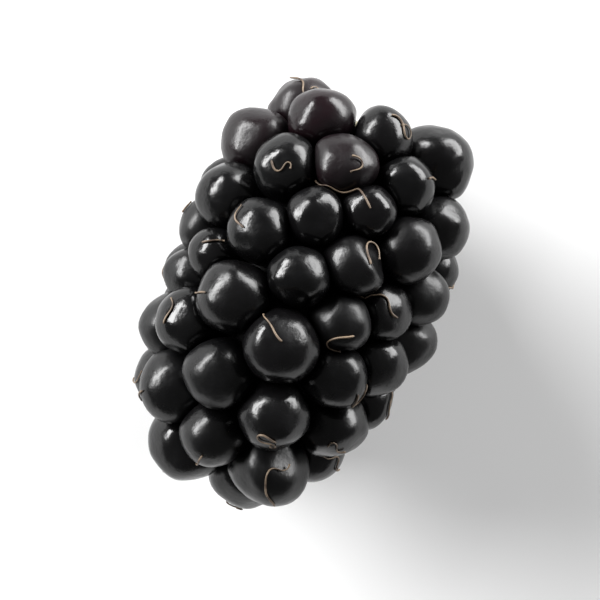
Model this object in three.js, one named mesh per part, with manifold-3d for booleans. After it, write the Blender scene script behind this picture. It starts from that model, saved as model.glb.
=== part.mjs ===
// A bramble berry: one ripe aggregate fruit lying on its side.
// Millimetres, +Z up, resting on z = 0. The stem end points to -X and the tip to +X.
// The fruit is one grown body: round juicy drupelets crowded in a spiral on a
// fleshy middle. The only other colour that holds together is the pale end of the
// receptacle, where the berry left its stalk.
import * as THREE from 'three';
import { mergeVertices } from 'three/addons/utils/BufferGeometryUtils.js';
import Module from 'manifold-3d';

const wasm = await Module();
wasm.setup();

// The surface that the drupelets' middles lie on, an egg shape round the berry's axis.
const TIP_REACH = 14.2; // widest plane to the tip
const STEM_REACH = 11.6; // widest plane to the stem end, if it were closed
const GIRTH_RADIUS = 7.15; // at the widest plane
const TIP_BLUNTNESS = 2.1; // 2 is an ellipse, more is blunter
const STEM_BLUNTNESS = 2.5;

// The drupelets.
const DRUPELETS = 70;
const GOLDEN_ANGLE = Math.PI * (3 - Math.sqrt(5));
const SIZE_SMALLEST = 0.86; // vigour of the smallest, an average one being 1
const SIZE_LARGEST = 1.14;
const SIZE_AT_ENDS = 0.9; // drupelets shrink to this share towards both ends
const CROWDING_RANGE = 5; // mm between middles at which average ones begin to push
const SETTLING_STEPS = 60;
const PUSH = 0.25; // share of the missing room that each of two gives way by in a step
const AREA_SLICES = 400;
const NEIGHBOURS = 6;
const NEIGHBOUR_REACH = 1.45; // of the nearest one's distance: further ones don't touch
const PRESSED = 1.17; // radius over the room it has, so that neighbours press together
const RADIUS_SMALLEST = 1.9;
const RADIUS_LARGEST = 2.75;
const DRUPELET_RISE = 1.1; // height of a drupelet over its width
const PROUD = 1.6; // mm that a drupelet moves outward for each unit of size above average
const SCAR_RING = 4.7; // no drupelet's middle comes nearer the axis at the stem end
const SEED = 200014;
const DRUPELET_SIDES = 2; // each triangle of an icosahedron is split into 3 x 3
const SLIVER = 0.03; // mm: smaller steps along the creases are evened out
const FACET_SWELL = 1.022; // brings the flat sides out to the mean of the round form

// The fleshy middle.
const MIDDLE_SINK = 0.45; // it lies this far under the drupelets' middles
const MIDDLE_STEM_X = -10.2; // where it ends round the pale flesh
const MIDDLE_SIDES = 28;
const MIDDLE_RINGS = 14;

// The receptacle's broken end.
const SCAR_RADIUS = 2.4;
const SCAR_X = -10.7; // its outer face, along the axis
const SCAR_RIM = 0.35; // how far the edge is rounded, in radius and in depth
const SCAR_RIM_BEND = 0.1; // the rounding's middle lies this far in from both faces
const SCAR_PIT_RADIUS = 0.85; // where the strands of the stalk pulled out
const SCAR_PIT_FLOOR = 0.5; // radius of its floor
const SCAR_PIT_DEPTH = 0.5;
const STUB_LENGTH = 3.6; // how far the pale flesh goes in
const SEAM = 0.3; // gap between the pale flesh and the dark
const SOCKET_OUT = 6; // the socket is cut this far out past the face
const SCAR_SIDES = 24;

// How the berry lies.
const ROLL = THREE.MathUtils.degToRad(179.7); // onto three drupelets round its weight
const PITCH = THREE.MathUtils.degToRad(-3.6);
const PRESSED_FLAT = 0.3; // the lowest drupelets are flattened this much by the surface
const SURFACE_SIZE = 60; // side of the block that stands for the surface while it is cut

let drawn = SEED;
function draw() {
  drawn = (Math.imul(1664525, drawn) + 1013904223) >>> 0;
  return drawn / 4294967296;
}

const TIP_END = { reach: TIP_REACH, power: TIP_BLUNTNESS };
const STEM_END = { reach: STEM_REACH, power: STEM_BLUNTNESS };
function endOf(x) {
  return x < 0 ? STEM_END : TIP_END;
}

// The egg's distance off the axis at x.
function eggRadius(x) {
  const { reach, power } = endOf(x);
  return GIRTH_RADIUS * Math.pow(1 - Math.pow(Math.abs(x) / reach, power), 1 / power);
}

const ringShare = Math.pow(SCAR_RING / GIRTH_RADIUS, STEM_BLUNTNESS);
const SCAR_RING_X = -STEM_REACH * Math.pow(1 - ringShare, 1 / STEM_BLUNTNESS);

// A point moved straight out from the middle of the berry onto the egg, and clear of
// the place where the stalk was.
function ontoEgg(p) {
  const { reach, power } = endOf(p.x);
  const along = Math.pow(Math.abs(p.x) / reach, power);
  const value = along + Math.pow(Math.hypot(p.y, p.z) / GIRTH_RADIUS, power);
  p.multiplyScalar(Math.pow(value, -1 / power));
  if (p.x < 0 && Math.hypot(p.y, p.z) < SCAR_RING) {
    const angle = Math.atan2(p.z, p.y);
    p.set(SCAR_RING_X, SCAR_RING * Math.cos(angle), SCAR_RING * Math.sin(angle));
  }
  return p;
}

function eggNormal(p) {
  const { reach, power } = endOf(p.x);
  const off = Math.max(Math.hypot(p.y, p.z), 1e-9);
  const along = Math.sign(p.x) * Math.pow(Math.abs(p.x) / reach, power - 1) / reach;
  const out = Math.pow(off / GIRTH_RADIUS, power - 1) / GIRTH_RADIUS;
  return new THREE.Vector3(along, out * p.y / off, out * p.z / off).normalize();
}

// Where the drupelets sit: equal steps of area along the axis, turned by the golden
// angle, then pushed apart until each has the room its size asks for.
function layDrupelets() {
  const xs = [SCAR_RING_X];
  const areas = [0];
  for (let i = 1; i <= AREA_SLICES; i++) {
    const turn = (i / AREA_SLICES) * Math.PI / 2;
    const x = SCAR_RING_X + (TIP_REACH - SCAR_RING_X) * Math.sin(turn);
    const before = xs[i - 1];
    const ra = eggRadius(before);
    const rb = eggRadius(Math.min(x, TIP_REACH));
    areas.push(areas[i - 1] + (ra + rb) * Math.hypot(x - before, rb - ra));
    xs.push(x);
  }
  const all = [];
  for (let i = 0; i < DRUPELETS; i++) {
    const area = areas[AREA_SLICES] * (i + 0.5) / DRUPELETS;
    const k = areas.findIndex((a) => a > area);
    const x = xs[k - 1] + (xs[k] - xs[k - 1]) * (area - areas[k - 1]) / (areas[k] - areas[k - 1]);
    const angle = i * GOLDEN_ANGLE;
    const off = eggRadius(x);
    const middle = new THREE.Vector3(x, off * Math.cos(angle), off * Math.sin(angle));
    const vigour = SIZE_SMALLEST + (SIZE_LARGEST - SIZE_SMALLEST) * draw();
    const far = Math.abs(x) / endOf(x).reach;
    all.push({ middle: ontoEgg(middle), size: vigour * (1 - (1 - SIZE_AT_ENDS) * far ** 3) });
  }
  for (let step = 0; step < SETTLING_STEPS; step++) {
    const moves = all.map(() => new THREE.Vector3());
    for (let i = 0; i < all.length; i++) {
      for (let j = i + 1; j < all.length; j++) {
        const apart = new THREE.Vector3().subVectors(all[j].middle, all[i].middle);
        const room = CROWDING_RANGE * (all[i].size + all[j].size) / 2;
        const lack = room - apart.length();
        if (lack > 0) {
          apart.normalize().multiplyScalar(PUSH * lack);
          moves[i].sub(apart);
          moves[j].add(apart);
        }
      }
    }
    all.forEach((d, i) => ontoEgg(d.middle.add(moves[i])));
  }
  for (const d of all) {
    const others = all.filter((o) => o !== d)
      .map((o) => ({ gap: d.middle.distanceTo(o.middle), share: d.size / (d.size + o.size) }))
      .sort((a, b) => a.gap - b.gap)
      .slice(0, NEIGHBOURS);
    const near = others.filter((o) => o.gap < NEIGHBOUR_REACH * others[0].gap);
    const room = near.reduce((sum, o) => sum + o.gap * o.share, 0) / near.length;
    d.across = THREE.MathUtils.clamp(PRESSED * room, RADIUS_SMALLEST, RADIUS_LARGEST);
    d.high = d.across * DRUPELET_RISE;
    d.normal = eggNormal(d.middle);
  }
  for (const d of all) d.middle.addScaledVector(d.normal, PROUD * (d.size - 1));
  return all;
}

function toSolid(geometry) {
  const bare = geometry.clone();
  bare.deleteAttribute('normal');
  bare.deleteAttribute('uv');
  const closed = mergeVertices(bare, 1e-4);
  return new wasm.Manifold(new wasm.Mesh({
    numProp: 3,
    vertProperties: new Float32Array(closed.attributes.position.array),
    triVerts: new Uint32Array(closed.index.array),
  }));
}

function toGeometry(solid) {
  const mesh = solid.getMesh();
  const geometry = new THREE.BufferGeometry();
  geometry.setAttribute('position', new THREE.BufferAttribute(mesh.vertProperties, 3));
  geometry.setIndex(new THREE.BufferAttribute(mesh.triVerts, 1));
  geometry.computeVertexNormals();
  return geometry;
}

// A profile of [x along the axis, distance off it] turned round the berry's axis.
function turned(profile, sides) {
  const points = profile.map(([x, off]) => new THREE.Vector2(off, x));
  return new THREE.LatheGeometry(points, sides).rotateZ(-Math.PI / 2);
}

const drupelets = layDrupelets();
const lie = new THREE.Matrix4().makeRotationY(PITCH)
  .multiply(new THREE.Matrix4().makeRotationX(ROLL));

// Bounds of the round forms once the berry lies as it does, to set it down.
const low = new THREE.Vector3(Infinity, Infinity, Infinity);
const top = new THREE.Vector3(-Infinity, -Infinity, -Infinity);
for (const d of drupelets) {
  const middle = d.middle.clone().applyMatrix4(lie);
  const normal = d.normal.clone().transformDirection(lie);
  const reach = new THREE.Vector3();
  for (const axis of ['x', 'y', 'z']) {
    const n2 = normal[axis] * normal[axis];
    reach[axis] = Math.sqrt(d.across * d.across * (1 - n2) + d.high * d.high * n2);
  }
  low.min(middle.clone().sub(reach));
  top.max(middle.clone().add(reach));
}
const place = new THREE.Matrix4().makeTranslation(
  -(low.x + top.x) / 2,
  -(low.y + top.y) / 2,
  -low.z - PRESSED_FLAT,
).multiply(lie);

// The dark fruit: middle and drupelets as one body.
const share = 1 - MIDDLE_SINK / GIRTH_RADIUS;
const middleProfile = [[MIDDLE_STEM_X * share, 0]];
for (let i = 0; i < MIDDLE_RINGS; i++) {
  const turn = (i / MIDDLE_RINGS) * Math.PI / 2;
  const x = MIDDLE_STEM_X + (TIP_REACH - MIDDLE_STEM_X) * Math.sin(turn);
  middleProfile.push([x * share, eggRadius(x) * share]);
}
middleProfile.push([TIP_REACH * share, 0]);
let fruit = toSolid(turned(middleProfile, MIDDLE_SIDES));
for (const d of drupelets) {
  const form = new THREE.IcosahedronGeometry(FACET_SWELL, DRUPELET_SIDES);
  form.scale(d.across, d.across, d.high);
  const turn = new THREE.Quaternion().setFromUnitVectors(new THREE.Vector3(0, 0, 1), d.normal);
  form.applyQuaternion(turn);
  form.translate(d.middle.x, d.middle.y, d.middle.z);
  fruit = fruit.add(toSolid(form));
}

// The pale end and its socket.
const socket = turned([
  [SCAR_X - SOCKET_OUT, 0],
  [SCAR_X - SOCKET_OUT, SCAR_RADIUS + SEAM],
  [SCAR_X + STUB_LENGTH + SEAM, SCAR_RADIUS + SEAM],
  [SCAR_X + STUB_LENGTH + SEAM, 0],
], SCAR_SIDES);
const stub = turned([
  [SCAR_X + SCAR_PIT_DEPTH, 0],
  [SCAR_X + SCAR_PIT_DEPTH, SCAR_PIT_FLOOR],
  [SCAR_X, SCAR_PIT_RADIUS],
  [SCAR_X, SCAR_RADIUS - SCAR_RIM],
  [SCAR_X + SCAR_RIM_BEND, SCAR_RADIUS - SCAR_RIM_BEND],
  [SCAR_X + SCAR_RIM, SCAR_RADIUS],
  [SCAR_X + STUB_LENGTH, SCAR_RADIUS],
  [SCAR_X + STUB_LENGTH, 0],
], SCAR_SIDES);

fruit = fruit.subtract(toSolid(socket));
const fruitGeometry = toGeometry(fruit).applyMatrix4(place);
const ground = new THREE.BoxGeometry(SURFACE_SIZE, SURFACE_SIZE, SURFACE_SIZE);
ground.translate(0, 0, -SURFACE_SIZE / 2);
const flattened = toSolid(fruitGeometry).subtract(toSolid(ground));
// The outer skin alone: pockets closed in between drupelets are flesh.
const shells = flattened.simplify(SLIVER).decompose();
const whole = shells.reduce((a, b) => (a.volume() > b.volume() ? a : b));

const dark = new THREE.MeshStandardMaterial({ color: 0x1a1618, roughness: 0.25, metalness: 0 });
const pale = new THREE.MeshStandardMaterial({ color: 0xd9d3ae, roughness: 0.8, metalness: 0 });

const berry = new THREE.Group();
const fruitMesh = new THREE.Mesh(toGeometry(whole), dark);
fruitMesh.name = 'drupelets';
const scarMesh = new THREE.Mesh(stub.applyMatrix4(place), pale);
scarMesh.name = 'receptacle';
berry.add(fruitMesh, scarMesh);

export default berry;
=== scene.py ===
import math

import bpy
import numpy as np
from mathutils import Matrix


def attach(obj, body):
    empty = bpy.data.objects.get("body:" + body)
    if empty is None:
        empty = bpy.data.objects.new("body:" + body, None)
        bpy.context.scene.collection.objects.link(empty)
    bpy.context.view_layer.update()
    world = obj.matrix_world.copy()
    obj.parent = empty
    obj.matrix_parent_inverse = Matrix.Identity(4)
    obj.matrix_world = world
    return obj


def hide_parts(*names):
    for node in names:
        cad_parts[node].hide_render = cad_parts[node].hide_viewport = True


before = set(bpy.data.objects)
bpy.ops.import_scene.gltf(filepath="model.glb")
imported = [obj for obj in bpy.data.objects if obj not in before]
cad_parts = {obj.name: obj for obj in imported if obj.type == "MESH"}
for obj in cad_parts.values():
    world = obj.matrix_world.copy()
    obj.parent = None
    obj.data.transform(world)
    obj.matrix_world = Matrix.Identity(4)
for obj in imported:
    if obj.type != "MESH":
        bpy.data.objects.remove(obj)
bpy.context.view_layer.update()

# The fruit: about seventy juicy drupelets grown together on a fleshy middle, ripened
# to black. Each is a thin taut skin full of juice, pressed flat where it meets its
# neighbours. They grow in a spiral, turned by the golden angle from one to the next.

MM = 0.001
TINY = 1e-9
FAR = 1e9

TIP_REACH = 14.2
STEM_REACH = 11.6
GIRTH_RADIUS = 7.15
TIP_BLUNTNESS = 2.1
STEM_BLUNTNESS = 2.5

DRUPELETS = 70
GOLDEN_ANGLE = math.pi * (3 - math.sqrt(5))
SIZE_SMALLEST = 0.86
SIZE_LARGEST = 1.14
SIZE_AT_ENDS = 0.9
CROWDING_RANGE = 5
SETTLING_STEPS = 60
PUSH = 0.25
AREA_SLICES = 400
NEIGHBOURS = 6
NEIGHBOUR_REACH = 1.45
PRESSED = 1.17
RADIUS_SMALLEST = 1.9
RADIUS_LARGEST = 2.75
DRUPELET_RISE = 1.1
PROUD = 1.6
SCAR_RING = 4.7
SEED = 200014
DRAW_STEP = 1664525
DRAW_SHIFT = 1013904223
DRAW_RANGE = 2**32

MIDDLE_SINK = 0.95
MIDDLE_STEM_X = -10.2

ROLL = math.radians(179.7)
PITCH = math.radians(-3.6)
PRESSED_FLAT = 0.3


def egg_end(x):
    """The reach and the bluntness of the egg's half that x, along its axis, is in."""
    return (STEM_REACH, STEM_BLUNTNESS) if x < 0 else (TIP_REACH, TIP_BLUNTNESS)


def egg_radius(x):
    """How far the egg's surface stands off its axis at x along it."""
    reach, power = egg_end(x)
    return GIRTH_RADIUS * max(0.0, 1 - (abs(x) / reach) ** power) ** (1 / power)


ring_share = (SCAR_RING / GIRTH_RADIUS) ** STEM_BLUNTNESS
SCAR_RING_X = -STEM_REACH * (1 - ring_share) ** (1 / STEM_BLUNTNESS)


def onto_egg(p):
    """A point brought onto the egg along its ray, and out of the stem's scar."""
    reach, power = egg_end(p[0])
    value = (abs(p[0]) / reach) ** power + (math.hypot(p[1], p[2]) / GIRTH_RADIUS) ** power
    p = p * value ** (-1 / power)
    if p[0] < 0 and math.hypot(p[1], p[2]) < SCAR_RING:
        angle = math.atan2(p[2], p[1])
        p = np.array([SCAR_RING_X, SCAR_RING * math.cos(angle), SCAR_RING * math.sin(angle)])
    return p


def egg_normal(p):
    """The way straight out of the egg at a point on it."""
    reach, power = egg_end(p[0])
    off = max(math.hypot(p[1], p[2]), TINY)
    along = math.copysign(1, p[0]) * (abs(p[0]) / reach) ** (power - 1) / reach
    out = (off / GIRTH_RADIUS) ** (power - 1) / GIRTH_RADIUS
    normal = np.array([along, out * p[1] / off, out * p[2] / off])
    return normal / np.linalg.norm(normal)


# Where each drupelet sits: equal steps of the egg's area, then they push each other
# apart until each has the room that its vigour asks for.
xs = [SCAR_RING_X]
areas = [0.0]
for i in range(1, AREA_SLICES + 1):
    turn = i / AREA_SLICES * math.pi / 2
    x = SCAR_RING_X + (TIP_REACH - SCAR_RING_X) * math.sin(turn)
    wide, narrow = egg_radius(xs[-1]), egg_radius(min(x, TIP_REACH))
    areas.append(areas[-1] + (wide + narrow) * math.hypot(x - xs[-1], narrow - wide))
    xs.append(x)

# The same draws as the solids', from a plain generator of whole numbers.
draw = SEED
middles = []
vigour = []
for i in range(DRUPELETS):
    x = float(np.interp(areas[-1] * (i + 0.5) / DRUPELETS, areas, xs))
    angle = i * GOLDEN_ANGLE
    off = egg_radius(x)
    draw = (DRAW_STEP * draw + DRAW_SHIFT) % DRAW_RANGE
    drawn = SIZE_SMALLEST + (SIZE_LARGEST - SIZE_SMALLEST) * draw / DRAW_RANGE
    far = abs(x) / egg_end(x)[0]
    middles.append(onto_egg(np.array([x, off * math.cos(angle), off * math.sin(angle)])))
    vigour.append(drawn * (1 - (1 - SIZE_AT_ENDS) * far**3))
middles = np.array(middles)
vigour = np.array(vigour)

for step in range(SETTLING_STEPS):
    apart = middles[None] - middles[:, None]
    gaps = np.linalg.norm(apart, axis=2)
    np.fill_diagonal(gaps, FAR)
    room = CROWDING_RANGE * (vigour[:, None] + vigour[None]) / 2
    lack = np.maximum(0, room - gaps)
    moves = -(apart / gaps[..., None] * (PUSH * lack)[..., None]).sum(1)
    middles = np.array([onto_egg(p) for p in middles + moves])

gaps = np.linalg.norm(middles[None] - middles[:, None], axis=2)
np.fill_diagonal(gaps, FAR)
across = []
for i in range(DRUPELETS):
    nearest = np.argsort(gaps[i])[:NEIGHBOURS]
    near = nearest[gaps[i, nearest] < NEIGHBOUR_REACH * gaps[i, nearest[0]]]
    room = np.mean(gaps[i, near] * vigour[i] / (vigour[i] + vigour[near]))
    across.append(min(max(PRESSED * room, RADIUS_SMALLEST), RADIUS_LARGEST))
across = np.array(across)
high = across * DRUPELET_RISE
outward = np.array([egg_normal(p) for p in middles])
middles = middles + outward * (PROUD * (vigour - 1))[:, None]

# How the berry lies: rolled and pitched onto three low drupelets, its box centred.
cr, sr, cp, sp = math.cos(ROLL), math.sin(ROLL), math.cos(PITCH), math.sin(PITCH)
rolled = np.array([[1, 0, 0], [0, cr, -sr], [0, sr, cr]])
pitched = np.array([[cp, 0, sp], [0, 1, 0], [-sp, 0, cp]])
lie = pitched @ rolled
lain = middles @ lie.T
lain_out = outward @ lie.T
reach = np.sqrt(across[:, None] ** 2 * (1 - lain_out**2) + high[:, None] ** 2 * lain_out**2)
low = (lain - reach).min(0)
top = (lain + reach).max(0)
shift = np.array([-(low[0] + top[0]) / 2, -(low[1] + top[1]) / 2, -low[2] - PRESSED_FLAT])
lain = lain + shift


def add(tree, kind, inputs=None, **settings):
    """One node with its settings. An input takes a value, the socket to link from, or
    a node whose first output it is linked from."""
    made = tree.nodes.new(kind)
    for name, value in settings.items():
        setattr(made, name, value)
    for socket, value in (inputs or {}).items():
        if isinstance(value, bpy.types.Node):
            value = value.outputs[0]
        if isinstance(value, bpy.types.NodeSocket):
            tree.links.new(value, made.inputs[socket])
        else:
            made.inputs[socket].default_value = value
    return made


def tree_of(name, sizes):
    """A geometry tree with a mesh input and one named input for each size."""
    tree = bpy.data.node_groups.new(name, "GeometryNodeTree")
    tree.interface.new_socket("Geometry", in_out="INPUT", socket_type="NodeSocketGeometry")
    tree.interface.new_socket("Geometry", in_out="OUTPUT", socket_type="NodeSocketGeometry")
    for label, value in sizes.items():
        kind = "NodeSocketInt" if isinstance(value, int) else "NodeSocketFloat"
        if isinstance(value, bpy.types.Material):
            kind = "NodeSocketMaterial"
        if isinstance(value, bpy.types.Object):
            kind = "NodeSocketObject"
        tree.interface.new_socket(label, in_out="INPUT", socket_type=kind)
    return tree


def grown(name, tree, mesh, sizes):
    """The plain mesh object that a tree makes from a mesh with these sizes."""
    seedling = bpy.data.objects.new(name + "_seedling", mesh)
    bpy.context.scene.collection.objects.link(seedling)
    modifier = seedling.modifiers.new(name, "NODES")
    modifier.node_group = tree
    for item in tree.interface.items_tree:
        if item.in_out == "INPUT" and item.name in sizes:
            modifier[item.identifier] = sizes[item.name]
    bpy.context.view_layer.update()
    graph = bpy.context.evaluated_depsgraph_get()
    made = bpy.data.meshes.new_from_object(seedling.evaluated_get(graph), depsgraph=graph)
    seedling.modifiers.clear()
    bpy.data.objects.remove(seedling)
    made.name = name
    # The seedling had no material, which leaves an empty first slot.
    if made.materials[0] is None:
        made.materials.pop(index=0)
    piece = bpy.data.objects.new(name, made)
    bpy.context.scene.collection.objects.link(piece)
    return piece


def linear(hexes):
    """An sRGB hex colour as the linear colour that shaders take."""
    parts = [int(hexes[i : i + 2], 16) / 255 for i in (1, 3, 5)]
    return [p / 12.92 if p <= 0.04045 else ((p + 0.055) / 1.055) ** 2.4 for p in parts] + [1]


# The sockets of these two share a name, so they go by number. A colour mix takes its
# two colours at 6 and 7, and gives the mixed one at 2.
MATH = "ShaderNodeMath"
VECTOR = "ShaderNodeVectorMath"

# The skin of a ripe drupelet: a taut waxy cuticle over black-purple juice. The eye gets
# near black with crisp lights on it, a red cast where a drupelet ripened last, and
# painted shade deep in the creases between drupelets.
WAX_PATCH = 1.5 * MM
SKIN_WAVE = 0.45 * MM
PORE = 0.11 * MM
RED_UNTIL = 0.2
WAX_DULLS = 0.15
PORE_SHARE = 0.2
skin = bpy.data.materials.new("ripe_drupelet_skin")
skin.use_nodes = True
t = skin.node_tree
t.nodes.clear()
place = add(t, "ShaderNodeTexCoord").outputs["Object"]
ripe = add(t, "ShaderNodeAttribute", attribute_name="ripeness").outputs["Fac"]
crease = add(t, "ShaderNodeAttribute", attribute_name="crease").outputs["Fac"]
gap = add(t, "ShaderNodeAttribute", attribute_name="gap").outputs["Fac"]
wax = add(t, "ShaderNodeAttribute", attribute_name="wax").outputs["Fac"]
crease = add(t, MATH, {0: crease, 1: gap}, operation="MAXIMUM")
colour = add(t, "ShaderNodeValToRGB", {"Fac": ripe})
colour.color_ramp.elements[0].color = linear("#1c0a10")
colour.color_ramp.elements[1].color = linear("#050505")
middle_tone = colour.color_ramp.elements.new(RED_UNTIL)
middle_tone.color = linear("#090708")
# Cloudy patches of wax.
cloud = add(t, "ShaderNodeTexNoise", {"Vector": place, "Scale": 1 / WAX_PATCH, "Detail": 3.0})
waxed = add(
    t,
    "ShaderNodeMix",
    {"Factor": cloud, 6: colour, 7: linear("#0d0d0e")},
    data_type="RGBA",
)
# Painted shade: the colour goes darker, to #040304, deep in the creases and gaps between drupelets.
painted_shade = add(
    t,
    "ShaderNodeMix",
    {"Factor": crease, 6: waxed.outputs[2], 7: linear("#040304")},
    data_type="RGBA",
)
# Glossy where the wax is thin, softer on waxier drupelets, dull deep between them.
gloss = add(
    t,
    "ShaderNodeMapRange",
    {"Value": cloud, "From Min": 0.3, "From Max": 0.72, "To Min": 0.13, "To Max": 0.28},
)
gloss = add(t, MATH, {0: wax, 1: WAX_DULLS, 2: gloss}, operation="MULTIPLY_ADD")
dull = add(
    t,
    "ShaderNodeMapRange",
    {"Value": crease, "From Min": 0.3, "From Max": 1.0, "To Min": 0.0, "To Max": 0.5},
)
gloss = add(t, MATH, {0: gloss, 1: dull}, operation="ADD")
# Unevenness of the stretched skin, and its pores, drawn coarser than the real ones.
dimples = add(t, "ShaderNodeTexNoise", {"Vector": place, "Scale": 1 / SKIN_WAVE, "Detail": 2.0})
pores = add(t, "ShaderNodeTexNoise", {"Vector": place, "Scale": 1 / PORE, "Detail": 2.0})
relief = add(t, MATH, {0: pores, 1: PORE_SHARE, 2: dimples}, operation="MULTIPLY_ADD")
bump = add(t, "ShaderNodeBump", {"Strength": 0.6, "Distance": 0.04 * MM, "Height": relief})
body = add(
    t,
    "ShaderNodeBsdfPrincipled",
    {"Base Color": painted_shade.outputs[2], "Roughness": gloss, "Normal": bump, "IOR": 1.4},
)
add(t, "ShaderNodeOutputMaterial", {"Surface": body})

# A quarter of them were dented against others, beside their tops. Those nearest the
# stem end ripened last.
DENTED_SHARE = 0.28
DENT_DEPTH = 0.15
DENT_SHALLOWEST = 0.6
DENT_DEEPEST = 1.1
DENT_ASIDE = 0.5
RIPENING = 0.03
FIRST_RIPE_X = -8
WAX_SKEW = 2
RIPENING_SEED = 5
random = np.random.default_rng(RIPENING_SEED)
dent_way = lain_out + DENT_ASIDE * random.normal(size=(DRUPELETS, 3))
dent_way = dent_way / np.linalg.norm(dent_way, axis=1)[:, None]
dent = DENT_DEPTH * (random.uniform(size=DRUPELETS) < DENTED_SHARE)
dent = dent * random.uniform(DENT_SHALLOWEST, DENT_DEEPEST, DRUPELETS)
ripeness = random.uniform(size=DRUPELETS) + RIPENING * (middles[:, 0] - FIRST_RIPE_X)
wax = random.uniform(size=DRUPELETS) ** WAX_SKEW

points = bpy.data.meshes.new("drupelet_middles")
points.from_pydata((lain * MM).tolist(), [], [])
for label, kind, values in (
    ("outward", "FLOAT_VECTOR", lain_out),
    ("centre", "FLOAT_VECTOR", lain * MM),
    ("dent_way", "FLOAT_VECTOR", dent_way),
    ("across", "FLOAT", across * MM),
    ("high", "FLOAT", high * MM),
    ("dent", "FLOAT", dent),
    ("ripeness", "FLOAT", np.clip(ripeness, 0, 1)),
    ("wax", "FLOAT", wax),
    ("number", "INT", np.arange(DRUPELETS)),
):
    layer = points.attributes.new(label, kind, "POINT")
    key = "vector" if kind == "FLOAT_VECTOR" else "value"
    layer.data.foreach_set(key, np.asarray(values).ravel())


def lathed(name, profile, sides):
    """A closed form turned round the berry's axis, from [x along it, distance off it]."""
    verts, faces = [], []
    for x, off in profile[1:-1]:
        for k in range(sides):
            a = 2 * math.pi * k / sides
            verts.append([x, off * math.cos(a), off * math.sin(a)])
    for ring in range(len(profile) - 3):
        for k in range(sides):
            a, b = ring * sides + k, ring * sides + (k + 1) % sides
            faces.append([a, b, b + sides, a + sides])
    last = len(verts)
    end = (len(profile) - 3) * sides
    verts += [[profile[0][0], 0, 0], [profile[-1][0], 0, 0]]
    for k in range(sides):
        faces.append([last, (k + 1) % sides, k])
        faces.append([last + 1, end + k, end + (k + 1) % sides])
    mesh = bpy.data.meshes.new(name)
    mesh.from_pydata(((np.array(verts) @ lie.T + shift) * MM).tolist(), [], faces)
    form = bpy.data.objects.new(name, mesh)
    bpy.context.scene.collection.objects.link(form)
    return form


# The fleshy middle that they stand on, and the socket for the receptacle's end.
SCAR_RADIUS = 2.4
SCAR_X = -10.7
STUB_LENGTH = 3.6
SEAM = 0.1
SOCKET_OUT = 6
MIDDLE_RINGS = 40
TURNED_SIDES = 64
share = 1 - MIDDLE_SINK / GIRTH_RADIUS
profile = [[MIDDLE_STEM_X * share, 0]]
for i in range(MIDDLE_RINGS):
    turn = i / MIDDLE_RINGS * math.pi / 2
    x = MIDDLE_STEM_X + (TIP_REACH - MIDDLE_STEM_X) * math.sin(turn)
    profile.append([x * share, egg_radius(x) * share])
profile.append([TIP_REACH * share, 0])
middle_form = lathed("middle_form", profile, TURNED_SIDES)
socket_ends = (SCAR_X - SOCKET_OUT, SCAR_X + STUB_LENGTH + SEAM)
profile = [[socket_ends[0], 0]]
profile += [[x, SCAR_RADIUS + SEAM] for x in socket_ends]
profile.append([socket_ends[1], 0])
socket_form = lathed("socket_form", profile, TURNED_SIDES)

# Lumps, ripples and dents are shares of a drupelet's radius. A pattern's pitch is how
# many of it go into a metre.
sizes = {
    "Sides": 17,
    "Flattening": 9.5,
    "Overlap": 1.03,
    "Touching Reach": 1.3,
    "Thinnest Half": 0.5,
    "Lump": 0.28,
    "Lump Pitch": 3 / (10 * MM),
    "Ripple": 0.05,
    "Ripple Pitch": 8 / (10 * MM),
    "Dent Edge": 0.55,
    "Flat Softness": 0.12 * MM,
    "Crease": 4.0,
    "Crumb": 100,
    "Fold": math.radians(30),
    "Same Place": 0.01 * MM,
    "Neighbours": DRUPELETS,
    "Middle": middle_form,
    "Socket": socket_form,
    "Skin": skin,
}
tree = tree_of("drupelets", sizes)
given = add(tree, "NodeGroupInput").outputs
position = add(tree, "GeometryNodeInputPosition")
own = {}
for label, kind in (
    ("outward", "FLOAT_VECTOR"),
    ("centre", "FLOAT_VECTOR"),
    ("dent_way", "FLOAT_VECTOR"),
    ("ray", "FLOAT_VECTOR"),
    ("across", "FLOAT"),
    ("high", "FLOAT"),
    ("dent", "FLOAT"),
    ("press", "FLOAT"),
    ("crease", "FLOAT"),
    ("ripeness", "FLOAT"),
    ("wax", "FLOAT"),
    ("number", "INT"),
):
    reader = add(tree, "GeometryNodeInputNamedAttribute", {"Name": label}, data_type=kind)
    own[label] = reader.outputs[0]

# A ball at each middle, its faces spread evenly before the cube's corners are drawn in.
cut = given["Sides"]
ball = add(
    tree,
    "GeometryNodeMeshCube",
    {"Size": (2, 2, 2), "Vertices X": cut, "Vertices Y": cut, "Vertices Z": cut},
)
spread = add(tree, VECTOR, {0: position, "Scale": math.pi / 4}, operation="SCALE")
spread = add(tree, VECTOR, {0: spread}, operation="TANGENT")
ball_point = add(tree, VECTOR, {0: spread}, operation="NORMALIZE")
ball = add(tree, "GeometryNodeSetPosition", {"Geometry": ball, "Position": ball_point})
turned = add(tree, "FunctionNodeAlignRotationToVector", {"Vector": own["outward"]}, axis="Z")
balls = add(
    tree,
    "GeometryNodeInstanceOnPoints",
    {"Points": given["Geometry"], "Instance": ball, "Rotation": turned},
)
balls = add(tree, "GeometryNodeRealizeInstances", {"Geometry": balls})
ray = add(tree, VECTOR, {0: position, 1: own["centre"]}, operation="SUBTRACT")
ray = add(tree, VECTOR, {0: ray}, operation="NORMALIZE")
balls = add(
    tree,
    "GeometryNodeStoreNamedAttribute",
    {"Geometry": balls, "Name": "ray", "Value": ray},
    data_type="FLOAT_VECTOR",
    domain="POINT",
)
balls = add(
    tree,
    "GeometryNodeStoreNamedAttribute",
    {"Geometry": balls, "Name": "press", "Value": 0.0},
    data_type="FLOAT",
    domain="POINT",
)

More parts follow.
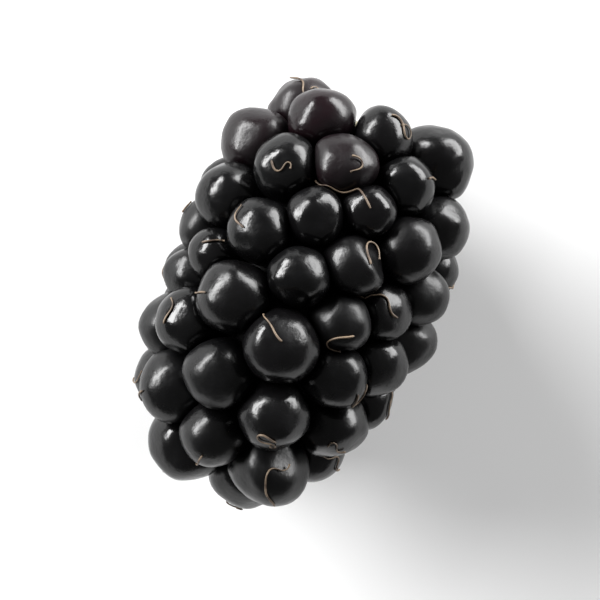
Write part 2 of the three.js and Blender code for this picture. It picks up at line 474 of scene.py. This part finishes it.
# Each neighbour in turn presses a flat on every drupelet that it touches, where the two
# balls would cut each other.
begin = add(tree, "GeometryNodeRepeatInput")
end = add(tree, "GeometryNodeRepeatOutput")
begin.pair_with_output(end)
tree.links.new(given["Neighbours"], begin.inputs["Iterations"])
tree.links.new(balls.outputs[0], begin.inputs["Geometry"])
other_centre = add(
    tree,
    "GeometryNodeSampleIndex",
    {"Geometry": given["Geometry"], "Value": own["centre"], "Index": begin.outputs["Iteration"]},
    data_type="FLOAT_VECTOR",
)
other_across = add(
    tree,
    "GeometryNodeSampleIndex",
    {"Geometry": given["Geometry"], "Value": own["across"], "Index": begin.outputs["Iteration"]},
    data_type="FLOAT",
)
to_other = add(tree, VECTOR, {0: other_centre, 1: own["centre"]}, operation="SUBTRACT")
span = add(tree, VECTOR, {0: to_other}, operation="LENGTH").outputs["Value"]
heading = add(tree, VECTOR, {0: to_other}, operation="NORMALIZE")
facing = add(tree, VECTOR, {0: own["ray"], 1: heading}, operation="DOT_PRODUCT")
facing = add(tree, MATH, {0: facing.outputs["Value"], 1: 0.0}, operation="MAXIMUM")
squares = add(tree, MATH, {0: span, 1: span}, operation="MULTIPLY")
squares = add(
    tree, MATH, {0: own["across"], 1: own["across"], 2: squares}, operation="MULTIPLY_ADD"
)
theirs = add(tree, MATH, {0: other_across, 1: other_across}, operation="MULTIPLY")
squares = add(tree, MATH, {0: squares, 1: theirs}, operation="SUBTRACT")
double_span = add(tree, MATH, {0: span, 1: 2.0}, operation="MULTIPLY")
wall = add(tree, MATH, {0: squares, 1: double_span}, operation="DIVIDE")
least = add(tree, MATH, {0: own["across"], 1: given["Thinnest Half"]}, operation="MULTIPLY")
wall = add(tree, MATH, {0: wall, 1: least}, operation="MAXIMUM")
wall = add(tree, MATH, {0: wall, 1: given["Overlap"]}, operation="MULTIPLY")
ratio = add(tree, MATH, {0: own["across"], 1: wall}, operation="DIVIDE")
pressed = add(tree, MATH, {0: facing, 1: ratio}, operation="MULTIPLY")
pressed = add(tree, MATH, {0: pressed, 1: given["Flattening"]}, operation="POWER")
near = add(tree, MATH, {0: own["across"], 1: other_across}, operation="ADD")
near = add(tree, MATH, {0: near, 1: given["Touching Reach"]}, operation="MULTIPLY")
touching = add(tree, MATH, {0: span, 1: near}, operation="LESS_THAN")
another = add(tree, MATH, {0: span, 1: given["Same Place"]}, operation="GREATER_THAN")
pressed = add(tree, MATH, {0: pressed, 1: touching}, operation="MULTIPLY")
pressed = add(tree, MATH, {0: pressed, 1: another}, operation="MULTIPLY")
pressed = add(tree, MATH, {0: own["press"], 1: pressed}, operation="ADD")
step = add(
    tree,
    "GeometryNodeStoreNamedAttribute",
    {"Geometry": begin.outputs["Geometry"], "Name": "press", "Value": pressed},
    data_type="FLOAT",
    domain="POINT",
)
tree.links.new(step.outputs[0], end.inputs["Geometry"])

# How far out each point stands: free where nothing presses, a little taller than wide.
upright = add(tree, VECTOR, {0: own["ray"], 1: own["outward"]}, operation="DOT_PRODUCT")
upright = upright.outputs["Value"]
upright2 = add(tree, MATH, {0: upright, 1: upright}, operation="MULTIPLY")
level2 = add(tree, MATH, {0: 1.0, 1: upright2}, operation="SUBTRACT")
rise = add(tree, MATH, {0: own["across"], 1: own["high"]}, operation="DIVIDE")
rise = add(tree, MATH, {0: rise, 1: rise}, operation="MULTIPLY")
free = add(tree, MATH, {0: upright2, 1: rise, 2: level2}, operation="MULTIPLY_ADD")
free = add(tree, MATH, {0: free}, operation="SQRT")
whole = add(tree, MATH, {0: free, 1: given["Flattening"]}, operation="POWER")
whole = add(tree, MATH, {0: whole, 1: own["press"]}, operation="ADD")
root = add(tree, MATH, {0: -1.0, 1: given["Flattening"]}, operation="DIVIDE")
whole = add(tree, MATH, {0: whole, 1: root}, operation="POWER")
squeezed = add(tree, MATH, {0: whole, 1: free}, operation="MULTIPLY")
squeezed = add(tree, MATH, {0: 1.0, 1: squeezed}, operation="SUBTRACT")

# Juice swells each drupelet unevenly, in lumps of about 3 mm with ripples of 1 mm, and
# a dent hollows it. The walls between neighbours stay even.
true_place = add(tree, VECTOR, {0: own["ray"], "Scale": own["across"]}, operation="SCALE")
true_place = add(tree, VECTOR, {0: true_place, 1: own["centre"]}, operation="ADD")
lumps = add(
    tree,
    "ShaderNodeTexNoise",
    {"Vector": true_place, "Scale": given["Lump Pitch"], "Detail": 1.0},
)
lumps = add(tree, MATH, {0: lumps, 1: 0.5}, operation="SUBTRACT")
lumps = add(tree, MATH, {0: lumps, 1: given["Lump"]}, operation="MULTIPLY")
ripples = add(
    tree,
    "ShaderNodeTexNoise",
    {"Vector": true_place, "Scale": given["Ripple Pitch"], "Detail": 1.0},
)
ripples = add(tree, MATH, {0: ripples, 1: 0.5}, operation="SUBTRACT")
lumps = add(
    tree, MATH, {0: ripples, 1: given["Ripple"], 2: lumps}, operation="MULTIPLY_ADD"
)
to_dent = add(tree, VECTOR, {0: own["ray"], 1: own["dent_way"]}, operation="DOT_PRODUCT")
hollow = add(
    tree,
    "ShaderNodeMapRange",
    {"Value": to_dent.outputs["Value"], "From Min": given["Dent Edge"], "From Max": 1.0},
    interpolation_type="SMOOTHERSTEP",
)
hollow = add(tree, MATH, {0: hollow, 1: own["dent"]}, operation="MULTIPLY")
lumps = add(tree, MATH, {0: lumps, 1: hollow}, operation="SUBTRACT")
free_share = add(
    tree,
    "ShaderNodeMapRange",
    {"Value": squeezed, "From Min": 0.02, "From Max": 0.12, "To Min": 1.0, "To Max": 0.0},
)
lumps = add(tree, MATH, {0: lumps, 1: free_share, 2: 1.0}, operation="MULTIPLY_ADD")
radius = add(tree, MATH, {0: whole, 1: own["across"]}, operation="MULTIPLY")
radius = add(tree, MATH, {0: radius, 1: lumps}, operation="MULTIPLY")
shaped = add(tree, VECTOR, {0: own["ray"], "Scale": radius}, operation="SCALE")
shaped = add(tree, VECTOR, {0: shaped, 1: own["centre"]}, operation="ADD")
# The lowest ones are flattened by the surface they lie on.
parts = add(tree, "ShaderNodeSeparateXYZ", {"Vector": shaped}).outputs
lowered = add(
    tree, MATH, {0: parts["Z"], 1: 0.0, 2: given["Flat Softness"]}, operation="SMOOTH_MAX"
)
shaped = add(tree, "ShaderNodeCombineXYZ", {"X": parts["X"], "Y": parts["Y"], "Z": lowered})
bodies = add(
    tree,
    "GeometryNodeSetPosition",
    {"Geometry": end.outputs["Geometry"], "Position": shaped},
)
# How deep in a crease each point lies: the skin paints shade there and dulls its gloss.
depth = add(tree, MATH, {0: squeezed, 1: given["Crease"]}, operation="MULTIPLY")
bodies = add(
    tree,
    "GeometryNodeStoreNamedAttribute",
    {"Geometry": bodies, "Name": "crease", "Value": depth},
    data_type="FLOAT",
    domain="POINT",
)

# Fused with one another and with the middle into one closed skin.
apart = add(
    tree,
    "GeometryNodeSplitToInstances",
    {"Geometry": bodies, "Group ID": own["number"]},
)
middle_mesh = add(tree, "GeometryNodeObjectInfo", {"Object": given["Middle"]})
socket_mesh = add(tree, "GeometryNodeObjectInfo", {"Object": given["Socket"]})
fused = add(
    tree, "GeometryNodeMeshBoolean", {"Mesh": apart}, operation="UNION", solver="MANIFOLD"
)
tree.links.new(middle_mesh.outputs["Geometry"], fused.inputs["Mesh"])
opened = add(
    tree,
    "GeometryNodeMeshBoolean",
    {"Mesh 1": fused, "Mesh 2": socket_mesh.outputs["Geometry"]},
    operation="DIFFERENCE",
    solver="MANIFOLD",
)
# Crumbs of a few faces that the cuts leave behind are dropped.
island = add(tree, "GeometryNodeInputMeshIsland")
count = add(tree, "GeometryNodeAccumulateField", {"Value": 1.0, "Group ID": island})
crumb = add(
    tree, MATH, {0: count.outputs["Total"], 1: given["Crumb"]}, operation="LESS_THAN"
)
opened = add(
    tree,
    "GeometryNodeDeleteGeometry",
    {"Geometry": opened, "Selection": crumb},
    domain="POINT",
)
# The fused skin takes each drupelet's values back. Where the middle itself shows, it is
# a gap between drupelets, which the skin paints in shade.
before = add(tree, "GeometryNodeRealizeInstances", {"Geometry": apart})
for label in ("crease", "ripeness", "wax"):
    found = add(
        tree,
        "GeometryNodeSampleNearestSurface",
        {"Mesh": before, "Value": own[label], "Sample Position": position},
        data_type="FLOAT",
    )
    opened = add(
        tree,
        "GeometryNodeStoreNamedAttribute",
        {"Geometry": opened, "Name": label, "Value": found},
        data_type="FLOAT",
        domain="POINT",
    )
to_middle = add(
    tree,
    "GeometryNodeProximity",
    {"Geometry": middle_mesh.outputs["Geometry"], "Sample Position": position},
)
between = add(
    tree, MATH, {0: to_middle.outputs["Distance"], 1: given["Same Place"]}, operation="LESS_THAN"
)
opened = add(
    tree,
    "GeometryNodeStoreNamedAttribute",
    {"Geometry": opened, "Name": "gap", "Value": between},
    data_type="FLOAT",
    domain="FACE",
)
smooth = add(tree, "GeometryNodeSetShadeSmooth", {"Geometry": opened})
# Where two drupelets meet, the skin folds in sharply.
fold = add(tree, "GeometryNodeInputMeshEdgeAngle")
folded = add(tree, MATH, {0: fold, 1: given["Fold"]}, operation="GREATER_THAN")
smooth = add(
    tree,
    "GeometryNodeSetShadeSmooth",
    {"Geometry": smooth, "Selection": folded, "Shade Smooth": False},
    domain="EDGE",
)
one_body = add(tree, "GeometryNodeRealizeInstances", {"Geometry": smooth})
done = add(tree, "GeometryNodeSetMaterial", {"Geometry": one_body, "Material": given["Skin"]})
add(tree, "NodeGroupOutput", {"Geometry": done})

fruit = grown("drupelets_skin", tree, points, sizes)
for label in ("outward", "centre", "dent_way", "across", "high", "dent", "number", "ray", "press"):
    fruit.data.attributes.remove(fruit.data.attributes[label])
bpy.data.objects.remove(middle_form)
bpy.data.objects.remove(socket_form)
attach(fruit, "root")
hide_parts("drupelets")

# The styles: each drupelet grew from one flower part, whose dried tan thread often
# stays on, thin as coarse hair, curled over the skin or fallen into a crease.
BROWN_STRETCH = 0.7 * MM
FURROW = 0.08 * MM
straw = bpy.data.materials.new("dried_style")
straw.use_nodes = True
t = straw.node_tree
t.nodes.clear()
place = add(t, "ShaderNodeTexCoord").outputs["Object"]
# The eye gets a dull tan thread, browned in stretches and finely furrowed.
browning = add(t, "ShaderNodeTexNoise", {"Vector": place, "Scale": 1 / BROWN_STRETCH, "Detail": 2.0})
straw_colour = add(t, "ShaderNodeValToRGB", {"Fac": browning})
straw_colour.color_ramp.elements[0].position = 0.3
straw_colour.color_ramp.elements[0].color = linear("#3a2b20")
straw_colour.color_ramp.elements[1].position = 0.65
straw_colour.color_ramp.elements[1].color = linear("#7b6a57")
fibre = add(t, "ShaderNodeTexNoise", {"Vector": place, "Scale": 1 / FURROW, "Detail": 1.0})
bump = add(t, "ShaderNodeBump", {"Strength": 0.5, "Distance": 0.03 * MM, "Height": fibre})
body = add(
    t,
    "ShaderNodeBsdfPrincipled",
    {"Base Color": straw_colour, "Roughness": 0.55, "Normal": bump},
)
add(t, "ShaderNodeOutputMaterial", {"Surface": body})

# Each rough path leaves the top of its drupelet, bends ever more as it dried, and lies
# over the drupelets it meets, in steps of a tenth of a millimetre.
STYLE_SHARE = 0.6
STYLE_SHORTEST = 1.6
STYLE_LONGEST = 5.5
STYLE_STEP = 0.1
STYLE_BEND = 1.9
STYLE_START = 0.22
STYLE_CLEAR = 1.03
STYLE_SETTLING = 0.35
STYLE_LOOSE = 0.1
STYLE_LOOSE_FROM = 0.6
STYLE_FIRST_BEND = 0.3
STYLE_LAST_BEND = 1.2
STYLE_BEND_RATES = (0.8, 3.2)
STYLE_SKEW = 1.4
LOOSE_ONE_IN = 3
UNDERSIDE = -0.55
STYLE_SEED = 12
random = np.random.default_rng(STYLE_SEED)
path_points, path_edges, alongs = [], [], []
for i in range(DRUPELETS):
    kept = random.uniform() < STYLE_SHARE
    longer = random.uniform() ** STYLE_SKEW
    length = STYLE_SHORTEST + (STYLE_LONGEST - STYLE_SHORTEST) * longer
    tilt = random.normal(size=3)
    bends = random.normal(size=3) * STYLE_BEND
    rates = random.uniform(*STYLE_BEND_RATES, 3)
    phases = random.uniform(0, 2 * math.pi, 3)
    way = random.normal(size=3)
    if not kept or lain_out[i, 2] < UNDERSIDE:
        continue
    start = lain_out[i] + STYLE_START * tilt / np.linalg.norm(tilt)
    now = lain[i] + start / np.linalg.norm(start) * high[i]
    steps = int(length / STYLE_STEP)
    for step in range(steps + 1):
        offs = now - lain
        spans = np.linalg.norm(offs, axis=1)
        clear = spans - across * STYLE_CLEAR
        on = int(np.argmin(clear))
        up = offs[on] / spans[on]
        settling = STYLE_SETTLING
        if step > steps * STYLE_LOOSE_FROM and i % LOOSE_ONE_IN == 0:
            settling = STYLE_LOOSE
        if clear[on] < 0:
            settling = 1
        now = now - up * clear[on] * settling
        path_points.append(now)
        alongs.append(step / steps)
        if step:
            path_edges.append((len(path_points) - 2, len(path_points) - 1))
        way = way - up * (way @ up)
        way = way / np.linalg.norm(way)
        bend = float((bends * np.sin(rates * step * STYLE_STEP + phases)).sum())
        drying = STYLE_FIRST_BEND + (STYLE_LAST_BEND - STYLE_FIRST_BEND) * step / steps
        turn = bend * drying * STYLE_STEP
        way = way * math.cos(turn) + np.cross(up, way) * math.sin(turn)
        now = now + way * STYLE_STEP


def paths_of(name, path_points, path_edges, alongs):
    """A mesh of edges in metres, each point with its share of the way along its path."""
    mesh = bpy.data.meshes.new(name)
    mesh.from_pydata((np.array(path_points) * MM).tolist(), path_edges, [])
    layer = mesh.attributes.new("along", "FLOAT", "POINT")
    layer.data.foreach_set("value", alongs)
    return mesh


sizes = {
    "Thickness": 0.085 * MM,
    "Lowest": 0.1 * MM,
    "Knob": 1.0,
    "Sides": 6,
    "Fruit": fruit,
    "Stuff": straw,
}
threads_tree = tree_of("threads", sizes)
tree = threads_tree
given = add(tree, "NodeGroupInput").outputs
along = add(tree, "GeometryNodeInputNamedAttribute", {"Name": "along"}, data_type="FLOAT")
here = add(tree, "GeometryNodeInputPosition")
facing_out = add(tree, "GeometryNodeInputNormal")
fruit_mesh = add(tree, "GeometryNodeObjectInfo", {"Object": given["Fruit"]}).outputs["Geometry"]
threads = add(tree, "GeometryNodeMeshToCurve", {"Mesh": given["Geometry"]})
# Twice: eased where it kinks, then lifted out of the skin where it sank in.
for easing in (3, 1):
    eased = add(
        tree,
        "GeometryNodeBlurAttribute",
        {"Value": here, "Iterations": easing},
        data_type="FLOAT_VECTOR",
    )
    threads = add(tree, "GeometryNodeSetPosition", {"Geometry": threads, "Position": eased})
    nearest = add(
        tree, "GeometryNodeProximity", {"Geometry": fruit_mesh, "Sample Position": here}
    )
    skin_way = add(
        tree,
        "GeometryNodeSampleNearestSurface",
        {"Mesh": fruit_mesh, "Value": facing_out, "Sample Position": here},
        data_type="FLOAT_VECTOR",
    )
    off_skin = add(tree, VECTOR, {0: here, 1: nearest}, operation="SUBTRACT")
    height = add(tree, VECTOR, {0: off_skin, 1: skin_way}, operation="DOT_PRODUCT")
    lack = add(
        tree, MATH, {0: given["Thickness"], 1: height.outputs["Value"]}, operation="SUBTRACT"
    )
    lack = add(tree, MATH, {0: lack, 1: 0.0}, operation="MAXIMUM")
    raised = add(tree, VECTOR, {0: skin_way, "Scale": lack}, operation="SCALE")
    raised = add(tree, VECTOR, {0: here, 1: raised}, operation="ADD")
    parts = add(tree, "ShaderNodeSeparateXYZ", {"Vector": raised}).outputs
    above = add(tree, MATH, {0: parts["Z"], 1: given["Lowest"]}, operation="MAXIMUM")
    laid = add(tree, "ShaderNodeCombineXYZ", {"X": parts["X"], "Y": parts["Y"], "Z": above})
    threads = add(tree, "GeometryNodeSetPosition", {"Geometry": threads, "Position": laid})
# Thinner towards its tip, where a style keeps the small knob of its stigma.
taper = add(
    tree,
    "ShaderNodeMapRange",
    {"Value": along, "From Min": 0.0, "From Max": 0.9, "To Min": 0.9, "To Max": 0.45},
)
root = add(
    tree,
    "ShaderNodeMapRange",
    {"Value": along, "From Min": 0.0, "From Max": 0.07, "To Min": 0.55, "To Max": 1.0},
)
knob = add(
    tree,
    "ShaderNodeMapRange",
    {"Value": along, "From Min": 0.9, "From Max": 0.96, "To Min": 0.0, "To Max": 0.4},
)
knob = add(tree, MATH, {0: knob, 1: given["Knob"]}, operation="MULTIPLY")
thick = add(tree, MATH, {0: taper, 1: root, 2: knob}, operation="MULTIPLY_ADD")
thick = add(tree, MATH, {0: thick, 1: given["Thickness"]}, operation="MULTIPLY")
section = add(
    tree, "GeometryNodeCurvePrimitiveCircle", {"Resolution": given["Sides"], "Radius": 1.0}
)
threads = add(
    tree,
    "GeometryNodeCurveToMesh",
    {"Curve": threads, "Profile Curve": section, "Scale": thick, "Fill Caps": True},
)
threads = add(tree, "GeometryNodeSetShadeSmooth", {"Geometry": threads})
threads = add(tree, "GeometryNodeRealizeInstances", {"Geometry": threads})
done = add(tree, "GeometryNodeSetMaterial", {"Geometry": threads, "Material": given["Stuff"]})
add(tree, "NodeGroupOutput", {"Geometry": done})

paths = paths_of("style_paths", path_points, path_edges, alongs)
styles = grown("styles", threads_tree, paths, sizes)
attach(styles, "root")

# The receptacle's broken end: pale pithy flesh that the drupelets grow on, torn where
# the berry came off its stalk. The eye gets a matt cream disc, a little green, with a
# pit where the stalk's strands pulled out, painted dark brown as shade.
BRUISE = 1.1 * MM
TORN_GRAIN = 0.2 * MM
pith = bpy.data.materials.new("torn_receptacle_pith")
pith.use_nodes = True
t = pith.node_tree
t.nodes.clear()
place = add(t, "ShaderNodeTexCoord").outputs["Object"]
painted_shade = add(t, "ShaderNodeAttribute", attribute_name="pit").outputs["Fac"]
# Bruised patches, and a torn grain.
blotch = add(t, "ShaderNodeTexNoise", {"Vector": place, "Scale": 1 / BRUISE, "Detail": 4.0})
pith_colour = add(t, "ShaderNodeValToRGB", {"Fac": blotch})
pith_colour.color_ramp.elements[0].position = 0.3
pith_colour.color_ramp.elements[0].color = linear("#575039")
pith_colour.color_ramp.elements[1].position = 0.62
pith_colour.color_ramp.elements[1].color = linear("#96917a")
# Painted shade: the colour goes dark brown down in the pit.
pith_tone = add(
    t,
    "ShaderNodeMix",
    {"Factor": painted_shade, 6: pith_colour, 7: linear("#40321f")},
    data_type="RGBA",
)
grain = add(t, "ShaderNodeTexNoise", {"Vector": place, "Scale": 1 / TORN_GRAIN, "Detail": 4.0})
bump = add(t, "ShaderNodeBump", {"Strength": 0.7, "Distance": 0.15 * MM, "Height": grain})
body = add(
    t,
    "ShaderNodeBsdfPrincipled",
    {"Base Color": pith_tone.outputs[2], "Roughness": 0.75, "Normal": bump},
)
add(t, "ShaderNodeOutputMaterial", {"Surface": body})

SCAR_RIM = 0.35
SCAR_PIT_RADIUS = 0.85
SCAR_PIT_DEPTH = 0.5
SCAR_INSET = 0.12
SCAR_COLLAR = 1.0
SCAR_MEAN = 0.96
SCAR_LOBES = 3
SCAR_LOBE = 0.03
SCAR_NOTCHES = 7
SCAR_NOTCH = 0.012
PIT_STEEPNESS = 1.6
PIT_SHADE = 1.4
TORN = 0.3
TORN_WAVES = 12
TORN_FINENESS = 2.2
STRANDS = 9
STRAND_HEIGHT = 0.1
STRAND_RING = 1.5
STRAND_WIDTH = 0.3
STRAND_WANDER = 3
PIT_RINGS = 8
FACE_RINGS = 14
SCAR_SIDES = 96
TORN_SEED = 7
random = np.random.default_rng(TORN_SEED)
face_width = SCAR_RADIUS - SCAR_PIT_RADIUS
ring_offs = [SCAR_PIT_RADIUS * k / PIT_RINGS for k in range(1, PIT_RINGS + 1)]
ring_offs += [SCAR_PIT_RADIUS + face_width * k / FACE_RINGS for k in range(1, FACE_RINGS + 1)]
waves = random.normal(size=(TORN_WAVES, 2)) * TORN_FINENESS
phases = random.uniform(0, 2 * math.pi, TORN_WAVES)
verts, pits = [], []
for off in ring_offs:
    inside = max(0.0, 1 - off / SCAR_PIT_RADIUS)
    rim = max(0.0, (off - SCAR_RADIUS + SCAR_RIM) / SCAR_RIM)
    for k in range(SCAR_SIDES):
        a = 2 * math.pi * k / SCAR_SIDES
        uneven = SCAR_MEAN + SCAR_LOBE * math.sin(SCAR_LOBES * a + 1)
        uneven += SCAR_NOTCH * math.sin(SCAR_NOTCHES * a)
        y, z = off * uneven * math.cos(a), off * uneven * math.sin(a)
        torn = float(np.sin(waves @ [y, z] + phases).mean())
        on_strands = math.exp(-(((off - STRAND_RING) / STRAND_WIDTH) ** 2))
        wander = STRAND_WANDER * torn
        strands = STRAND_HEIGHT * math.sin(STRANDS * a + wander) * on_strands
        x = SCAR_X + SCAR_INSET + TORN * torn + strands
        x += SCAR_PIT_DEPTH * min(1, PIT_STEEPNESS * inside) + SCAR_RIM * rim**2
        verts.append([max(x, SCAR_X), y, z])
        pits.append(min(1.0, PIT_SHADE * inside))
for x in (SCAR_X + SCAR_COLLAR, SCAR_X + STUB_LENGTH):
    for k in range(SCAR_SIDES):
        a = 2 * math.pi * k / SCAR_SIDES
        verts.append([x, SCAR_RADIUS * math.cos(a), SCAR_RADIUS * math.sin(a)])
        pits.append(0.0)
end_ring = len(verts) - SCAR_SIDES
first, last = len(verts), len(verts) + 1
verts += [[SCAR_X + SCAR_INSET + SCAR_PIT_DEPTH, 0, 0], [SCAR_X + STUB_LENGTH, 0, 0]]
pits += [1.0, 0.0]
faces = []
for start in range(0, end_ring, SCAR_SIDES):
    for k in range(SCAR_SIDES):
        a, b = start + k, start + (k + 1) % SCAR_SIDES
        faces.append([a, b, b + SCAR_SIDES, a + SCAR_SIDES])
for k in range(SCAR_SIDES):
    faces.append([first, (k + 1) % SCAR_SIDES, k])
    faces.append([last, end_ring + k, end_ring + (k + 1) % SCAR_SIDES])
mesh = bpy.data.meshes.new("receptacle_end")
mesh.from_pydata(((np.array(verts) @ lie.T + shift) * MM).tolist(), [], faces)
# How much painted shade each point of the pit gets.
layer = mesh.attributes.new("pit", "FLOAT", "POINT")
layer.data.foreach_set("value", pits)
mesh.materials.append(pith)
mesh.shade_smooth()
scar = bpy.data.objects.new("receptacle_end", mesh)
bpy.context.scene.collection.objects.link(scar)
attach(scar, "root")
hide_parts("receptacle")

# The down round the receptacle's end: short pale plant hairs left where the sepals
# stood, each a fine bowed bristle.
TINT_REACH = 0.5 * MM
down = bpy.data.materials.new("pale_plant_down")
down.use_nodes = True
t = down.node_tree
t.nodes.clear()
place = add(t, "ShaderNodeTexCoord").outputs["Object"]
# The eye gets dull bristles, which go from cream to straw from hair to hair.
tint = add(t, "ShaderNodeTexNoise", {"Vector": place, "Scale": 1 / TINT_REACH, "Detail": 1.0})
down_colour = add(t, "ShaderNodeValToRGB", {"Fac": tint})
down_colour.color_ramp.elements[0].color = linear("#6d6247")
down_colour.color_ramp.elements[1].color = linear("#aea68c")
body = add(t, "ShaderNodeBsdfPrincipled", {"Base Color": down_colour, "Roughness": 0.6})
add(t, "ShaderNodeOutputMaterial", {"Surface": body})

HAIRS = 110
HAIR_SHORTEST = 0.35
HAIR_LONGEST = 0.95
HAIR_ROOT = 0.42
HAIR_EDGE = (0.1, 0.4)
HAIR_ASIDE = 0.5
HAIR_FORWARD = (0.4, 1.4)
HAIR_BOW = 0.2
HAIR_STEPS = 4
HAIR_SEED = 21
random = np.random.default_rng(HAIR_SEED)
path_points, path_edges, alongs = [], [], []
for i in range(HAIRS):
    angle = random.uniform(0, 2 * math.pi)
    off = SCAR_RADIUS - random.uniform(*HAIR_EDGE)
    root_place = np.array([SCAR_X + HAIR_ROOT, off * math.cos(angle), off * math.sin(angle)])
    aim = angle + random.normal() * HAIR_ASIDE
    way = np.array([-random.uniform(*HAIR_FORWARD), math.cos(aim), math.sin(aim)])
    way = way / np.linalg.norm(way) * random.uniform(HAIR_SHORTEST, HAIR_LONGEST)
    bow = random.normal(size=3) * HAIR_BOW
    for step in range(HAIR_STEPS + 1):
        share = step / HAIR_STEPS
        path_points.append(lie @ (root_place + way * share + bow * share**2) + shift)
        alongs.append(share)
        if step:
            path_edges.append((len(path_points) - 2, len(path_points) - 1))
sizes = {
    "Thickness": 0.022 * MM,
    "Lowest": 0.1 * MM,
    "Knob": 0.0,
    "Sides": 4,
    "Fruit": fruit,
    "Stuff": down,
}
paths = paths_of("down_paths", path_points, path_edges, alongs)
hairs = grown("receptacle_down", threads_tree, paths, sizes)
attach(hairs, "root")

# The surface under it: a plain sheet of white card, matt and level, wide enough to fill
# the view. It isn't part of the berry.
HALF_FLOOR = 8
floor_mesh = bpy.data.meshes.new("surface")
corners = [(x * HALF_FLOOR, y * HALF_FLOOR, 0) for x, y in ((-1, -1), (1, -1), (1, 1), (-1, 1))]
floor_mesh.from_pydata(corners, [], [(0, 1, 2, 3)])
floor = bpy.data.objects.new("surface", floor_mesh)
bpy.context.scene.collection.objects.link(floor)
card = bpy.data.materials.new("matt_white_card")
card.use_nodes = True
card_shader = card.node_tree.nodes["Principled BSDF"]
card_shader.inputs["Base Color"].default_value = linear("#f2f2f2")
card_shader.inputs["Roughness"].default_value = 0.9
floor.data.materials.append(card)

# The camera, straight above, with the berry's stem end up and leaning to the right, and
# the light of two soft panels, left and right of the picture's top.
LEAN = math.radians(24.6)
CAMERA_HEIGHT = 0.122
PANEL_DISTANCE = 2.0
PANEL_WIDTH = 2.2
BERRY_MIDDLE = 10 * MM
AROUND = 0.14
image_right = np.array([-math.sin(LEAN), math.cos(LEAN), 0.0])
image_up = np.array([-math.cos(LEAN), -math.sin(LEAN), 0.0])
image_out = np.array([0.0, 0.0, 1.0])
camera_data = bpy.data.cameras.new("camera")
camera_data.lens = 100
camera_data.sensor_width = 36
camera_data.clip_start = 5 * MM
camera = bpy.data.objects.new("camera", camera_data)
bpy.context.scene.collection.objects.link(camera)
stands = np.eye(4)
stands[:3, 0], stands[:3, 1], stands[:3, 2] = image_right, image_up, image_out
stands[:3, 3] = image_out * CAMERA_HEIGHT
camera.matrix_world = Matrix(stands.tolist())
bpy.context.scene.camera = camera


def panel(name, azimuth, off_axis, tall, power):
    """A soft light panel placed by where it stands in the picture: azimuth is degrees
    anticlockwise from the picture's right, off_axis degrees from the camera's line."""
    light = bpy.data.lights.new(name, "AREA")
    light.shape = "RECTANGLE"
    light.size = PANEL_WIDTH
    light.size_y = tall
    light.energy = power
    lamp = bpy.data.objects.new(name, light)
    a, e = math.radians(azimuth), math.radians(off_axis)
    side = image_right * math.cos(a) + image_up * math.sin(a)
    back = side * math.sin(e) + image_out * math.cos(e)
    up = image_out * math.sin(e) - side * math.cos(e)
    stands = np.eye(4)
    stands[:3, 0], stands[:3, 1], stands[:3, 2] = np.cross(up, back), up, back
    stands[:3, 3] = back * PANEL_DISTANCE + image_out * BERRY_MIDDLE
    lamp.matrix_world = Matrix(stands.tolist())
    lamp.visible_camera = False
    bpy.context.scene.collection.objects.link(lamp)


panel("key", 145, 65, 0.5, 110)
panel("fill", 42, 80, 1.0, 114)
world = bpy.data.worlds.new("studio")
bpy.context.scene.world = world
world.use_nodes = True
world.node_tree.nodes["Background"].inputs["Color"].default_value = (1, 1, 1, 1)
world.node_tree.nodes["Background"].inputs["Strength"].default_value = AROUND
bpy.context.scene.view_settings.view_transform = "Standard"
